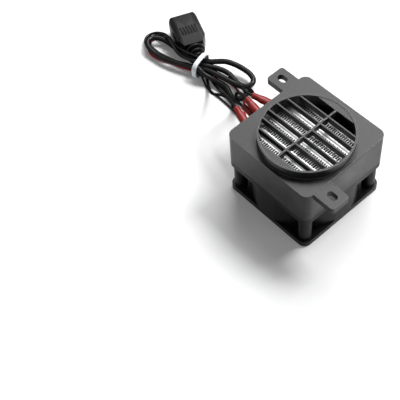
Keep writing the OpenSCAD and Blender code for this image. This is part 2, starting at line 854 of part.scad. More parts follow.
heater_housing();
fan_frame();
fan_impeller();
rotor_yoke();
rotor_magnet();
fan_shaft();
shaft_clip();
fan_bearing();
stator_core();
stator_insulator();
stator_coils();
fan_circuit_board();
corner_screws();
element_holder(-1);  // element_holder_left
element_holder(1);  // element_holder_right
heating_tube(-1);  // heating_tube_front
heating_tube(0);  // heating_tube_middle
heating_tube(1);  // heating_tube_rear
insulating_film(-1);  // insulating_film_front
insulating_film(0);  // insulating_film_middle
insulating_film(1);  // insulating_film_rear
ptc_stones(-1);  // ptc_stones_front
ptc_stones(0);  // ptc_stones_middle
ptc_stones(1);  // ptc_stones_rear
electrode(-1, -1);  // live_electrode_front
electrode(0, -1);  // live_electrode_middle
electrode(1, -1);  // live_electrode_rear
electrode(-1, 1);  // neutral_electrode_front
electrode(0, 1);  // neutral_electrode_middle
electrode(1, 1);  // neutral_electrode_rear
fin_row(-1, -1);  // fin_row_1
fin_row(-1, 1);  // fin_row_2
fin_row(0, -1);  // fin_row_3
fin_row(0, 1);  // fin_row_4
fin_row(1, -1);  // fin_row_5
fin_row(1, 1);  // fin_row_6
live_bus();
neutral_bus();
crimp_sleeve(0);  // crimp_sleeve_a
crimp_sleeve(1);  // crimp_sleeve_b
crimp_sleeve(2);  // crimp_sleeve_c
crimp_sleeve(3);  // crimp_sleeve_d
crimp_contact(0);  // crimp_contact_a
crimp_contact(1);  // crimp_contact_b
crimp_contact(2);  // crimp_contact_c
crimp_contact(3);  // crimp_contact_d
supply_wire(wire_a_route);  // supply_wire_a
supply_wire(wire_b_route);  // supply_wire_b
supply_wire(wire_c_route);  // supply_wire_c
supply_wire(wire_d_route);  // supply_wire_d
fan_wire_black();
fan_wire_red();
lead_hank();
lead_tie();
inlet_connector();
inlet_pins();
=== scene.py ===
"""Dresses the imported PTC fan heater: its moulded housing, fan, heating element, terminals and tied lead."""

import logging
import math
from dataclasses import dataclass, field
from enum import Enum

import bmesh
import bpy
from mathutils import Matrix, Vector


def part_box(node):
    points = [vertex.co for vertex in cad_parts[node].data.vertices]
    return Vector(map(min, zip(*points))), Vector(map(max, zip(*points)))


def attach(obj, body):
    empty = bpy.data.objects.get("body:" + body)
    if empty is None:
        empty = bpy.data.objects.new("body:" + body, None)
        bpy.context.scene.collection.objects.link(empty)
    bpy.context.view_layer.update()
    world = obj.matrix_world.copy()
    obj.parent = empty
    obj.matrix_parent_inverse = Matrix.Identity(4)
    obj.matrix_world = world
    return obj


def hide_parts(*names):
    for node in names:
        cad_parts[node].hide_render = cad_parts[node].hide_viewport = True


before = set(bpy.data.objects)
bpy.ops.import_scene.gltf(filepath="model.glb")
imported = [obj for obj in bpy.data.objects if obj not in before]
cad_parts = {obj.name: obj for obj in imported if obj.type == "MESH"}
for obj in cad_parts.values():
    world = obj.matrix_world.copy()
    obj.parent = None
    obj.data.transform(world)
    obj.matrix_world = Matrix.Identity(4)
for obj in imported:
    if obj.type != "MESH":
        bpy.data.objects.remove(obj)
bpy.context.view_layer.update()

log = logging.getLogger("heater")
MM = 0.001
HEATER = "heater"
ROTOR = "rotor"
MERGE = 0.000002

Point = tuple[float, float, float]
Colour = tuple[float, float, float]


def metres(point: Point) -> Vector:
    """Return a point given in millimetres as a vector in metres."""
    return Vector(point) * MM


# Camera, light and floor


@dataclass(frozen=True)
class StudioCamera:
    """Camera at the photograph's viewing angle.

    Attributes:
        place: Where it stands, in millimetres.
        yaw: Its turn about the vertical, in degrees.
        pitch: How far it looks down, in degrees.
        roll: Its turn about its own line of sight, in degrees.
        lens: Focal length, in millimetres.
        sensor: Sensor width, in millimetres.
        clip: Nearest and farthest distance that it shows, in metres.
    """

    place: Point = (215.976, -232.557, 441.324)
    yaw: float = 53.69
    pitch: float = 54.89
    roll: float = -6.73
    lens: float = 85.85
    sensor: float = 36.0
    clip: tuple[float, float] = (0.01, 20.0)

    def turn(self) -> Matrix:
        """Work out the camera's rotation.

        Returns:
            The rotation, with the camera's right, up and back directions as columns.
        """
        yaw, pitch, roll = (math.radians(a) for a in (self.yaw, self.pitch, self.roll))
        back = Vector((math.sin(yaw) * math.cos(pitch), -math.cos(yaw) * math.cos(pitch), math.sin(pitch)))
        level = Vector((math.cos(yaw), math.sin(yaw), 0.0))
        upright = back.cross(level)
        right = math.cos(roll) * level + math.sin(roll) * upright
        up = math.cos(roll) * upright - math.sin(roll) * level
        return Matrix((right, up, back)).transposed()

    def build(self) -> bpy.types.Object:
        """Add the camera to the scene and make it the active one.

        Returns:
            The camera.
        """
        data = bpy.data.cameras.new("studio_camera")
        data.sensor_width = self.sensor
        data.lens = self.lens
        data.clip_start, data.clip_end = self.clip
        camera = bpy.data.objects.new("studio_camera", data)
        camera.matrix_world = Matrix.Translation(metres(self.place)) @ self.turn().to_4x4()
        bpy.context.scene.collection.objects.link(camera)
        bpy.context.scene.camera = camera
        return camera


@dataclass(frozen=True)
class Lamp:
    """One plain soft lamp, aimed at the heater.

    Attributes:
        name: The lamp's name.
        place: Where it hangs, in metres.
        size: Width of its square face, in metres.
        power: Its power in watts.
        aim: Where it points, in metres.
    """

    name: str
    place: Point
    size: float
    power: float
    aim: Point = (-0.02, 0.0, 0.03)

    def build(self) -> None:
        """Add the lamp to the scene."""
        data = bpy.data.lights.new(self.name, "AREA")
        data.shape = "SQUARE"
        data.size = self.size
        data.energy = self.power
        lamp = bpy.data.objects.new(self.name, data)
        lamp.location = Vector(self.place)
        lamp.rotation_euler = (Vector(self.aim) - lamp.location).to_track_quat("-Z", "Y").to_euler()
        bpy.context.scene.collection.objects.link(lamp)


@dataclass(frozen=True)
class Studio:
    """Pale floor, white surroundings and soft lamps.

    Attributes:
        floor_size: Side of the square floor, in metres.
        floor_colour: The floor's colour.
        floor_lift: Strength of the glow that seen rays get from the floor near the heater.
        floor_white: Distances between which that glow grows to white, in metres.
        ambient: Colour of the light from the surroundings.
        horizon: Brightness that reflections see at the horizon.
        sky_white: How far up a reflected ray points, from 0 to 1, where it sees white.
        lamps: The soft lamps.
    """

    floor_size: float = 6.0
    floor_colour: Colour = (0.8, 0.8, 0.805)
    floor_lift: float = 0.1
    floor_white: tuple[float, float] = (0.35, 1.2)
    ambient: Colour = (0.16, 0.161, 0.162)
    horizon: float = 0.1
    sky_white: float = 0.9
    lamps: tuple[Lamp, ...] = (
        Lamp("key_lamp", (0.12, 0.75, 1.15), 0.4, 16.0),
        Lamp("side_lamp", (1.15, 0.3, 0.6), 0.6, 1.5),
        Lamp("sheen_lamp", (-0.5, 0.75, 1.15), 0.8, 16.0),
    )

    def build(self) -> None:
        """Build the floor, the world and the lamps."""
        self._floor()
        self._world()
        for lamp in self.lamps:
            lamp.build()
        bpy.context.scene.view_settings.view_transform = "Standard"

    def _seen(self, nodes: bpy.types.Nodes, links: bpy.types.NodeLinks) -> bpy.types.NodeSocket:
        """Make a mask of the rays that see the pale background.

        Args:
            nodes: The nodes of the material or world.
            links: Their links.

        Returns:
            The mask's socket: 1 for camera, glossy and transmission rays, and 0 for the others.
        """
        path = nodes.new("ShaderNodeLightPath")
        mask = path.outputs["Is Camera Ray"]
        for ray in ("Is Glossy Ray", "Is Transmission Ray"):
            pick = nodes.new("ShaderNodeMath")
            pick.operation = "MAXIMUM"
            links.new(mask, pick.inputs[0])
            links.new(path.outputs[ray], pick.inputs[1])
            mask = pick.outputs[0]
        return mask

    def _floor(self) -> None:
        """Add the floor, whose lift shows only in what the camera sees and grows to white far from the heater."""
        mesh = bpy.data.meshes.new("studio_floor")
        shape = bmesh.new()
        bmesh.ops.create_grid(shape, x_segments=1, y_segments=1, size=self.floor_size / 2)
        shape.to_mesh(mesh)
        shape.free()
        floor = bpy.data.objects.new("studio_floor", mesh)
        bpy.context.scene.collection.objects.link(floor)
        material = bpy.data.materials.new("studio_floor")
        material.use_nodes = True
        nodes, links = material.node_tree.nodes, material.node_tree.links
        nodes.clear()
        matt = nodes.new("ShaderNodeBsdfDiffuse")
        matt.inputs["Color"].default_value = (*self.floor_colour, 1.0)
        lift = nodes.new("ShaderNodeEmission")
        scaled = nodes.new("ShaderNodeMath")
        scaled.operation = "MULTIPLY"
        links.new(self._seen(nodes, links), scaled.inputs[0])
        place = nodes.new("ShaderNodeTexCoord")
        away = nodes.new("ShaderNodeVectorMath")
        away.operation = "LENGTH"
        links.new(place.outputs["Object"], away.inputs[0])
        fade = nodes.new("ShaderNodeMapRange")
        fade.inputs["From Min"].default_value, fade.inputs["From Max"].default_value = self.floor_white
        fade.inputs["To Min"].default_value = self.floor_lift
        links.new(away.outputs["Value"], fade.inputs["Value"])
        links.new(fade.outputs["Result"], scaled.inputs[1])
        links.new(scaled.outputs[0], lift.inputs["Strength"])
        both = nodes.new("ShaderNodeAddShader")
        links.new(matt.outputs[0], both.inputs[0])
        links.new(lift.outputs[0], both.inputs[1])
        out = nodes.new("ShaderNodeOutputMaterial")
        links.new(both.outputs[0], out.inputs["Surface"])
        mesh.materials.append(material)

    def _world(self) -> None:
        """Set the world: white behind the heater, darker low down in reflections, a soft grey where it lights."""
        world = bpy.data.worlds.new("studio_world")
        world.use_nodes = True
        nodes, links = world.node_tree.nodes, world.node_tree.links
        nodes.clear()
        mix = nodes.new("ShaderNodeMix")
        mix.data_type = "RGBA"
        mix.inputs["A"].default_value = (*self.ambient, 1.0)
        links.new(self._seen(nodes, links), mix.inputs["Factor"])
        place = nodes.new("ShaderNodeTexCoord")
        axes = nodes.new("ShaderNodeSeparateXYZ")
        links.new(place.outputs["Generated"], axes.inputs[0])
        rise = nodes.new("ShaderNodeMapRange")
        rise.inputs["From Max"].default_value = self.sky_white
        rise.inputs["To Min"].default_value = self.horizon
        links.new(axes.outputs["Z"], rise.inputs["Value"])
        path = nodes.new("ShaderNodeLightPath")
        white = nodes.new("ShaderNodeMath")
        white.operation = "MAXIMUM"
        links.new(rise.outputs["Result"], white.inputs[0])
        links.new(path.outputs["Is Camera Ray"], white.inputs[1])
        links.new(white.outputs[0], mix.inputs["B"])
        sky = nodes.new("ShaderNodeBackground")
        links.new(mix.outputs["Result"], sky.inputs["Color"])
        out = nodes.new("ShaderNodeOutputWorld")
        links.new(sky.outputs[0], out.inputs["Surface"])
        bpy.context.scene.world = world


# Finishes


class Surface(Enum):
    """How the fine relief of a finish runs."""

    GRAIN = "grain"
    STREAKS = "streaks"


class FinishGroups:
    """The node groups that several materials share, each built once.

    Attributes:
        grain_share: Share of the fine noise in the mottling.
        patch_share: Share of the coarse noise in it.
        spread: Noise values between which one colour goes over into the other.
        streak_stretch: Scale along each axis that makes streaks of the grain.
    """

    grain_share = 0.35
    patch_share = 0.65
    spread = (0.35, 0.65)
    streak_stretch = (0.05, 1.0, 1.0)
    _made: dict[Surface, bpy.types.NodeTree] = {}

    @classmethod
    def get(cls, surface: Surface) -> bpy.types.NodeTree:
        """Give the group for a kind of surface, built the first time.

        Args:
            surface: The kind of surface.

        Returns:
            Its node group.
        """
        if surface not in cls._made:
            cls._made[surface] = cls._build(surface)
        return cls._made[surface]

    @staticmethod
    def _build(surface: Surface) -> bpy.types.NodeTree:
        """Build one group: mottled colour, uneven roughness and fine relief.

        Args:
            surface: Round grain, or streaks that run along X.

        Returns:
            The finished node group.
        """
        tree = bpy.data.node_groups.new(f"surface_{surface.value}", "ShaderNodeTree")
        sockets = tree.interface
        sockets.new_socket("Colour", in_out="INPUT", socket_type="NodeSocketColor")
        sockets.new_socket("Mottled colour", in_out="INPUT", socket_type="NodeSocketColor")
        for name in ("Grain scale", "Patch scale", "Low roughness", "High roughness"):
            sockets.new_socket(name, in_out="INPUT", socket_type="NodeSocketFloat")
        sockets.new_socket("Colour", in_out="OUTPUT", socket_type="NodeSocketColor")
        sockets.new_socket("Roughness", in_out="OUTPUT", socket_type="NodeSocketFloat")
        sockets.new_socket("Height", in_out="OUTPUT", socket_type="NodeSocketFloat")
        nodes, links = tree.nodes, tree.links
        given = nodes.new("NodeGroupInput")
        result = nodes.new("NodeGroupOutput")
        place = nodes.new("ShaderNodeTexCoord")
        stretch = nodes.new("ShaderNodeMapping")
        if surface is Surface.STREAKS:
            stretch.inputs["Scale"].default_value = FinishGroups.streak_stretch
        links.new(place.outputs["Object"], stretch.inputs["Vector"])
        grain = nodes.new("ShaderNodeTexNoise")
        grain.inputs["Detail"].default_value = 3.0
        links.new(stretch.outputs[0], grain.inputs["Vector"])
        links.new(given.outputs["Grain scale"], grain.inputs["Scale"])
        patch = nodes.new("ShaderNodeTexNoise")
        patch.inputs["Detail"].default_value = 4.0
        patch.inputs["Roughness"].default_value = 0.6
        links.new(place.outputs["Object"], patch.inputs["Vector"])
        links.new(given.outputs["Patch scale"], patch.inputs["Scale"])
        blend = nodes.new("ShaderNodeMath")
        blend.operation = "MULTIPLY_ADD"
        blend.inputs[1].default_value = FinishGroups.grain_share
        links.new(grain.outputs["Fac"], blend.inputs[0])
        soft = nodes.new("ShaderNodeMath")
        soft.operation = "MULTIPLY"
        soft.inputs[1].default_value = FinishGroups.patch_share
        links.new(patch.outputs["Fac"], soft.inputs[0])
        links.new(soft.outputs[0], blend.inputs[2])
        spread = nodes.new("ShaderNodeMapRange")
        spread.inputs["From Min"].default_value, spread.inputs["From Max"].default_value = FinishGroups.spread
        links.new(blend.outputs[0], spread.inputs["Value"])
        colour = nodes.new("ShaderNodeMix")
        colour.data_type = "RGBA"
        links.new(spread.outputs["Result"], colour.inputs["Factor"])
        links.new(given.outputs["Colour"], colour.inputs["A"])
        links.new(given.outputs["Mottled colour"], colour.inputs["B"])
        links.new(colour.outputs["Result"], result.inputs["Colour"])
        rough = nodes.new("ShaderNodeMapRange")
        links.new(spread.outputs["Result"], rough.inputs["Value"])
        links.new(given.outputs["Low roughness"], rough.inputs["To Min"])
        links.new(given.outputs["High roughness"], rough.inputs["To Max"])
        links.new(rough.outputs["Result"], result.inputs["Roughness"])
        links.new(grain.outputs["Fac"], result.inputs["Height"])
        return tree


@dataclass(frozen=True)
class Finish:
    """One procedural finish.

    Attributes:
        name: The material's name.
        slot: The material slot that it stands for; not used.
        colour: Main colour.
        mottle: Colour of the patches in it.
        surface: How the fine relief runs.
        rough: Lowest and highest roughness.
        grain: Scale of the relief, per metre.
        patch: Scale of the patches, per metre.
        relief: Height of the relief, in metres.
        metallic: 1 for bare metal.
        coat: Weight of a clear gloss over the colour.
        coat_rough: Roughness of that clear gloss.
        specular: Strength of the plain reflection.
        skin: Weight of a moulded skin's soft gloss, which its fine texture dulls at glancing angles.
        skin_rough: Roughness of that gloss.
        skin_turn: Facing values between which that gloss dies away.
        skin_left: Share of it that is left at glancing angles.
        fade: Heights between which the colour goes from painted deep shade to full, in metres, or None.
        deep: Share of the colour that is left below them.
        shade: Colour of that painted shade.
    """

    name: str
    slot: str
    colour: Colour
    mottle: Colour
    surface: Surface = Surface.GRAIN
    rough: tuple[float, float] = (0.42, 0.55)
    grain: float = 2600.0
    patch: float = 120.0
    relief: float = 0.00002
    metallic: float = 0.0
    coat: float = 0.0
    coat_rough: float = 0.12
    specular: float = 0.5
    skin: float = 0.0
    skin_rough: float = 0.5
    skin_turn: tuple[float, float] = (0.4, 0.65)
    skin_left: float = 0.03
    fade: tuple[float, float] | None = None
    deep: float = 0.03
    shade: Colour = (0.01, 0.01, 0.01)

    def material(self) -> bpy.types.Material:
        """Give the finish's material, built the first time.

        Returns:
            The material.
        """
        title = f"{self.name}_finish"
        if title in bpy.data.materials:
            return bpy.data.materials[title]
        material = bpy.data.materials.new(title)
        material.use_nodes = True
        nodes, links = material.node_tree.nodes, material.node_tree.links
        shader = nodes["Principled BSDF"]
        shader.inputs["Metallic"].default_value = self.metallic
        shader.inputs["Coat Weight"].default_value = self.coat
        shader.inputs["Coat Roughness"].default_value = self.coat_rough
        shader.inputs["Specular IOR Level"].default_value = self.specular
        group = nodes.new("ShaderNodeGroup")
        group.node_tree = FinishGroups.get(self.surface)
        group.inputs["Colour"].default_value = (*self.colour, 1.0)
        group.inputs["Mottled colour"].default_value = (*self.mottle, 1.0)
        group.inputs["Grain scale"].default_value = self.grain
        group.inputs["Patch scale"].default_value = self.patch
        group.inputs["Low roughness"].default_value = self.rough[0]
        group.inputs["High roughness"].default_value = self.rough[1]
        links.new(self._shaded(nodes, links, group.outputs["Colour"]), shader.inputs["Base Color"])
        links.new(group.outputs["Roughness"], shader.inputs["Roughness"])
        bump = nodes.new("ShaderNodeBump")
        bump.inputs["Strength"].default_value = 1.0
        bump.inputs["Distance"].default_value = self.relief
        links.new(group.outputs["Height"], bump.inputs["Height"])
        links.new(bump.outputs["Normal"], shader.inputs["Normal"])
        if self.skin:
            shader.inputs["Coat Roughness"].default_value = self.skin_rough
            facing = nodes.new("ShaderNodeLayerWeight")
            facing.inputs["Blend"].default_value = 0.5
            dulled = nodes.new("ShaderNodeMapRange")
            dulled.inputs["From Min"].default_value, dulled.inputs["From Max"].default_value = self.skin_turn
            dulled.inputs["To Min"].default_value = self.skin
            dulled.inputs["To Max"].default_value = self.skin * self.skin_left
            links.new(facing.outputs["Facing"], dulled.inputs["Value"])
            links.new(dulled.outputs["Result"], shader.inputs["Coat Weight"])
            links.new(bump.outputs["Normal"], shader.inputs["Coat Normal"])
        return material

    def _shaded(
        self, nodes: bpy.types.Nodes, links: bpy.types.NodeLinks, colour: bpy.types.NodeSocket
    ) -> bpy.types.NodeSocket:
        """Paint shade: darken the colour with depth where the finish has a fade.

        Args:
            nodes: The material's nodes.
            links: Their links.
            colour: The finish's colour.

        Returns:
            The socket of the darkened colour, or the colour's own where there is no fade.
        """
        if self.fade is None:
            return colour
        place = nodes.new("ShaderNodeTexCoord")
        axes = nodes.new("ShaderNodeSeparateXYZ")
        links.new(place.outputs["Object"], axes.inputs[0])
        rise = nodes.new("ShaderNodeMapRange")
        rise.interpolation_type = "SMOOTHSTEP"
        rise.inputs["From Min"].default_value, rise.inputs["From Max"].default_value = self.fade
        rise.inputs["To Min"].default_value = self.deep
        links.new(axes.outputs["Z"], rise.inputs["Value"])
        mix = nodes.new("ShaderNodeMix")
        mix.data_type = "RGBA"
        mix.inputs["A"].default_value = (*self.shade, 1.0)
        links.new(rise.outputs["Result"], mix.inputs["Factor"])
        links.new(colour, mix.inputs["B"])
        return mix.outputs["Result"]


HOUSING = Finish(
    "housing_plastic", "housing_plastic", (0.006, 0.0061, 0.0066), (0.03, 0.0304, 0.032),
    rough=(0.28, 0.4), patch=120.0, specular=0.24,
)
# Lighter colour on the housing's rounded edges: a painted highlight.
HOUSING_EDGE_HIGHLIGHT = Finish(
    "housing_edge_highlight", "housing_plastic", (0.07, 0.0705, 0.073), (0.14, 0.141, 0.145),
    rough=(0.26, 0.36), patch=300.0, specular=0.5,
)
FAN_BLACK = Finish(
    "fan_plastic", "fan_plastic", (0.004, 0.004, 0.0042), (0.007, 0.007, 0.0073),
    rough=(0.3, 0.4), specular=0.14,
)
# Lighter colour on the fan frame's rounded edges: a painted highlight.
FAN_EDGE_HIGHLIGHT = Finish(
    "fan_edge_highlight", "fan_plastic", (0.02, 0.02, 0.021), (0.05, 0.05, 0.052),
    rough=(0.25, 0.35), patch=300.0, specular=0.5,
)
IMPELLER = Finish(
    "impeller_plastic", "impeller_plastic", (0.005, 0.005, 0.0053), (0.008, 0.008, 0.0084),
    rough=(0.4, 0.5), specular=0.3,
)
STEEL = Finish(
    "plated_steel", "plated_steel", (0.62, 0.62, 0.6), (0.5, 0.5, 0.49), Surface.STREAKS,
    rough=(0.25, 0.4), metallic=1.0, relief=0.00001,
)
IRON = Finish(
    "laminated_iron", "laminated_iron", (0.4, 0.4, 0.41), (0.3, 0.3, 0.31),
    metallic=1.0, relief=0.00002,
)
FERRITE = Finish("ferrite", "magnet", (0.07, 0.065, 0.06), (0.1, 0.09, 0.085), rough=(0.6, 0.75))
BRONZE = Finish(
    "sintered_bronze", "bearing_brass", (0.6, 0.42, 0.2), (0.5, 0.33, 0.15),
    metallic=1.0, rough=(0.35, 0.5),
)
COPPER = Finish(
    "enamelled_copper", "copper_wire", (0.65, 0.25, 0.09), (0.5, 0.17, 0.06),
    metallic=1.0, rough=(0.2, 0.35), coat=0.5,
)
IVORY = Finish("ivory_plastic", "ivory_plastic", (0.68, 0.65, 0.54), (0.6, 0.57, 0.47))
BOARD = Finish("solder_mask", "circuit_board", (0.02, 0.14, 0.05), (0.03, 0.19, 0.07), rough=(0.25, 0.35))
HOLDER = Finish(
    "holder_plastic", "holder_plastic", (0.06, 0.058, 0.054), (0.09, 0.087, 0.08),
    rough=(0.5, 0.65),
)
ALUMINIUM = Finish(
    "bright_aluminium", "bright_aluminium", (0.82, 0.825, 0.83), (0.68, 0.685, 0.69), Surface.STREAKS,
    rough=(0.3, 0.45), grain=2200.0, patch=260.0, relief=0.00002, metallic=1.0,
)
# The fins' colour goes nearly black below their tops: painted shade for the narrow gaps between the folds.
FIN_ALUMINIUM = Finish(
    "fin_aluminium", "bright_aluminium", (0.8, 0.805, 0.81), (0.6, 0.605, 0.61), Surface.STREAKS,
    rough=(0.35, 0.5), grain=1500.0, patch=260.0, relief=0.000004, metallic=0.8, fade=(0.0419, 0.0426),
)
FILM = Finish(
    "polyimide_film", "amber_film", (0.5, 0.22, 0.02), (0.42, 0.17, 0.015),
    rough=(0.15, 0.25), coat=0.4,
)
STONE = Finish("ptc_ceramic", "ptc_ceramic", (0.19, 0.18, 0.17), (0.14, 0.13, 0.125), rough=(0.7, 0.85))
TINNED = Finish(
    "tinned_strip", "tinned_strip", (0.74, 0.74, 0.73), (0.62, 0.62, 0.61), Surface.STREAKS,
    rough=(0.25, 0.4), metallic=1.0, relief=0.00001,
)
TINNED_BRASS = Finish(
    "tinned_brass", "tinned_brass", (0.72, 0.66, 0.5), (0.62, 0.56, 0.4),
    metallic=1.0, rough=(0.25, 0.4),
)
SLEEVE = Finish(
    "sleeve_red", "red_sleeve", (0.19, 0.008, 0.007), (0.25, 0.013, 0.01),
    rough=(0.35, 0.45), patch=240.0, specular=0.0, skin=0.5, skin_rough=0.22,
)
WIRE_BLACK = Finish(
    "wire_black", "black_wire", (0.006, 0.006, 0.006), (0.01, 0.01, 0.01),
    rough=(0.3, 0.4), specular=0.0, skin=0.32, skin_rough=0.2,
)
WIRE_RED = Finish(
    "wire_red", "red_wire", (0.4, 0.006, 0.02), (0.5, 0.01, 0.03),
    rough=(0.3, 0.4), specular=0.0, skin=0.9, skin_rough=0.22,
)
CABLE = Finish(
    "cable_black", "black_cable", (0.006, 0.006, 0.006), (0.01, 0.01, 0.01),
    rough=(0.3, 0.42), specular=0.0, skin=0.32, skin_rough=0.22,
)
TIE = Finish("tie_white", "white_tie", (0.74, 0.77, 0.79), (0.66, 0.69, 0.71), rough=(0.3, 0.42), patch=300.0)
CONNECTOR = Finish(
    "connector_black", "connector_pvc", (0.006, 0.006, 0.0065), (0.01, 0.01, 0.0105),
    rough=(0.3, 0.4), specular=0.12,
)
NICKEL = Finish(
    "nickel_pin", "nickel_pin", (0.68, 0.66, 0.62), (0.6, 0.58, 0.54),
    metallic=1.0, rough=(0.15, 0.25), relief=0.00001,
)


# Shared making


def copy_of(node: str, name: str) -> bpy.types.Object:
    """Copy a CAD node's mesh into a new piece with its triangles joined.

    Args:
        node: The CAD node's name.
        name: The new piece's name.

    Returns:
        The new piece, linked to the scene.
    """
    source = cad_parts[node]
    mesh = source.data.copy()
    mesh.name = name
    mesh.materials.clear()
    shape = bmesh.new()
    shape.from_mesh(mesh)
    bmesh.ops.remove_doubles(shape, verts=shape.verts, dist=MERGE)
    bmesh.ops.dissolve_degenerate(shape, edges=shape.edges, dist=MERGE)
    shape.to_mesh(mesh)
    shape.free()
    piece = bpy.data.objects.new(name, mesh)
    bpy.context.scene.collection.objects.link(piece)
    return piece


def smooth_by_angle(mesh: bpy.types.Mesh, angle: float = 32.0) -> None:
    """Shade a mesh smooth, apart from its sharp edges.

    Args:
        mesh: The mesh.
        angle: Edges sharper than this, in degrees, stay sharp.
    """
    shape = bmesh.new()
    shape.from_mesh(mesh)
    limit = math.radians(angle)
    for face in shape.faces:
        face.smooth = True
    for edge in shape.edges:
        edge.smooth = len(edge.link_faces) == 2 and edge.calc_face_angle(0.0) < limit
    shape.to_mesh(mesh)
    shape.free()


def round_edges(
    piece: bpy.types.Object, width: float, segments: int = 2, angle: float = 35.0, flatten: bool = True
) -> None:
    """Give a piece small rounded edges.

    Args:
        piece: The piece.
        width: Width of the rounding, in metres.
        segments: Number of strips in the rounding.
        angle: Only edges sharper than this, in degrees, are rounded.
        flatten: Whether flat faces are made single polygons first.
    """
    if flatten:
        shape = bmesh.new()
        shape.from_mesh(piece.data)
        bmesh.ops.dissolve_limit(
            shape, angle_limit=math.radians(0.6), verts=shape.verts, edges=shape.edges, use_dissolve_boundaries=False
        )
        shape.to_mesh(piece.data)
        shape.free()
    smooth_by_angle(piece.data, angle)
    bevel = piece.modifiers.new("rounded_edges", "BEVEL")
    bevel.width = width
    bevel.segments = segments
    bevel.limit_method = "ANGLE"
    bevel.angle_limit = math.radians(angle)
    bevel.use_clamp_overlap = True
    bevel.harden_normals = True
    bevel.miter_outer = "MITER_ARC"


def dress(piece: bpy.types.Object, finish: Finish, body: str, edge: Finish | None = None) -> bpy.types.Object:
    """Give a new piece its finish and the body that it rides on.

    Args:
        piece: The piece.
        finish: What it is made of.
        body: The body that it rides on.
        edge: The finish of its rounded edges, a lighter colour that is a painted highlight.

    Returns:
        The same piece.
    """
    piece.data.materials.clear()
    piece.data.materials.append(finish.material())
    # The rounding's faces get the lighter edge finish, a painted highlight.
    if edge is not None:
        piece.data.materials.append(edge.material())
        piece.modifiers["rounded_edges"].material = 1
    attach(piece, body)
    log.info("%s: %s, on %s", piece.name, finish.name, body)
    return piece


def paint_node(node: str, finish: Finish) -> None:
    """Put a finish on a CAD node that is shown as it is.

    Args:
        node: The CAD node.
        finish: What it is made of.
    """
    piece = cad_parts[node]
    if not piece.material_slots:
        piece.data.materials.append(finish.material())
    for spot in piece.material_slots:
        spot.link = "OBJECT"
        spot.material = finish.material()
    log.info("%s: %s", node, finish.name)


def rounded_node(
    node: str, finish: Finish, body: str, width: float, segments: int = 2, edge: Finish | None = None,
    flatten: bool = True,
) -> bpy.types.Object:
    """Replace a CAD node with a copy whose edges are rounded.

    Args:
        node: The CAD node.
        finish: What the copy is made of.
        body: The body that it rides on.
        width: Width of the rounding, in metres.
        segments: Number of strips in the rounding.
        edge: The finish of the rounding, a lighter colour that is a painted highlight.
        flatten: Whether flat faces are made single polygons first.

    Returns:
        The new piece.
    """
    piece = copy_of(node, f"{node}_moulded")
    round_edges(piece, width, segments, flatten=flatten)
    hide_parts(node)
    return dress(piece, finish, body, edge)


# The lead


@dataclass(frozen=True)
class Cord:
    """One wire or cable, as a smooth round cord along its points.

    Attributes:
        name: The piece's name.
        points: Points along its middle, in millimetres.
        diameter: Its outside diameter, in millimetres.
        finish: Its insulation.
        nodes: The CAD nodes that it stands for.
        far_end: What is at its far end; not used.
        stiffness: How it bends; not used.
        lay: How it lies; not used.
        with_pieces: Separate pieces on it; not used.
    """

    name: str
    points: tuple[Point, ...]
    diameter: float
    finish: Finish
    nodes: tuple[str, ...]
    far_end: str = "object"
    stiffness: str = "limp"
    lay: str = "loose"
    with_pieces: tuple[str, ...] = ()

    def _curve(self) -> bpy.types.Curve:
        """Lay the cord as one open spline with a round section.

        Returns:
            The curve.
        """
        curve = bpy.data.curves.new(self.name, "CURVE")
        curve.dimensions = "3D"
        curve.resolution_u = 8
        curve.bevel_depth = self.diameter * MM / 2
        curve.bevel_resolution = 3
        curve.use_fill_caps = True
        spline = curve.splines.new("BEZIER")
        spline.bezier_points.add(len(self.points) - 1)
        for knot, point in zip(spline.bezier_points, self.points):
            knot.co = metres(point)
            knot.handle_left_type = knot.handle_right_type = "AUTO"
        return curve

    def build(self) -> bpy.types.Object:
        """Returns:
            The cord's object.
        """
        curve = self._curve()
        piece = bpy.data.objects.new(self.name, curve)
        bpy.context.scene.collection.objects.link(piece)
        dress(piece, self.finish, HEATER)
        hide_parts(*self.nodes)
        return piece


